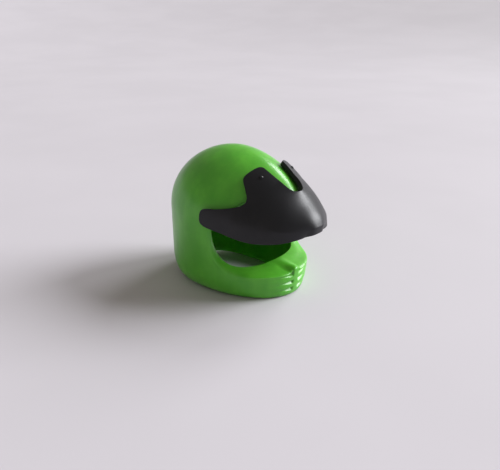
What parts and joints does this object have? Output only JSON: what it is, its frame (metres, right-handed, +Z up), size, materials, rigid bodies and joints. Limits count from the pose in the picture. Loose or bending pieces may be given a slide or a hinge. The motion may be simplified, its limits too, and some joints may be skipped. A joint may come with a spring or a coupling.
{
  "type": "toy motocross helmet",
  "caption": "Play-figure motocross helmet: a green moulded shell with an open face and a ribbed chin guard, and a black peak that tilts on pegs at the ears.",
  "frame": {"origin": "on the surface that the helmet stands on, under the middle of its bounding box", "axes": "+Z up, the face and the peak point along -Y, the wearer's right is -X"},
  "size_m": [0.0266, 0.036, 0.0277],
  "materials": {
    "green_plastic": "satin gloss, moulded in one colour",
    "black_plastic": "gloss, moulded in one colour"
  },
  "bodies": {
    "helmet": {"helmet_shell": "green_plastic"},
    "peak": {"peak": "black_plastic"}
  },
  "joints": [
    {"name": "peak_tilt", "type": "hinge", "parent": "helmet", "child": "peak", "pos_m": [0, -0.0004, 0.017], "axis": [-1, 0, 0], "range_deg": [0, 20]}
  ]
}
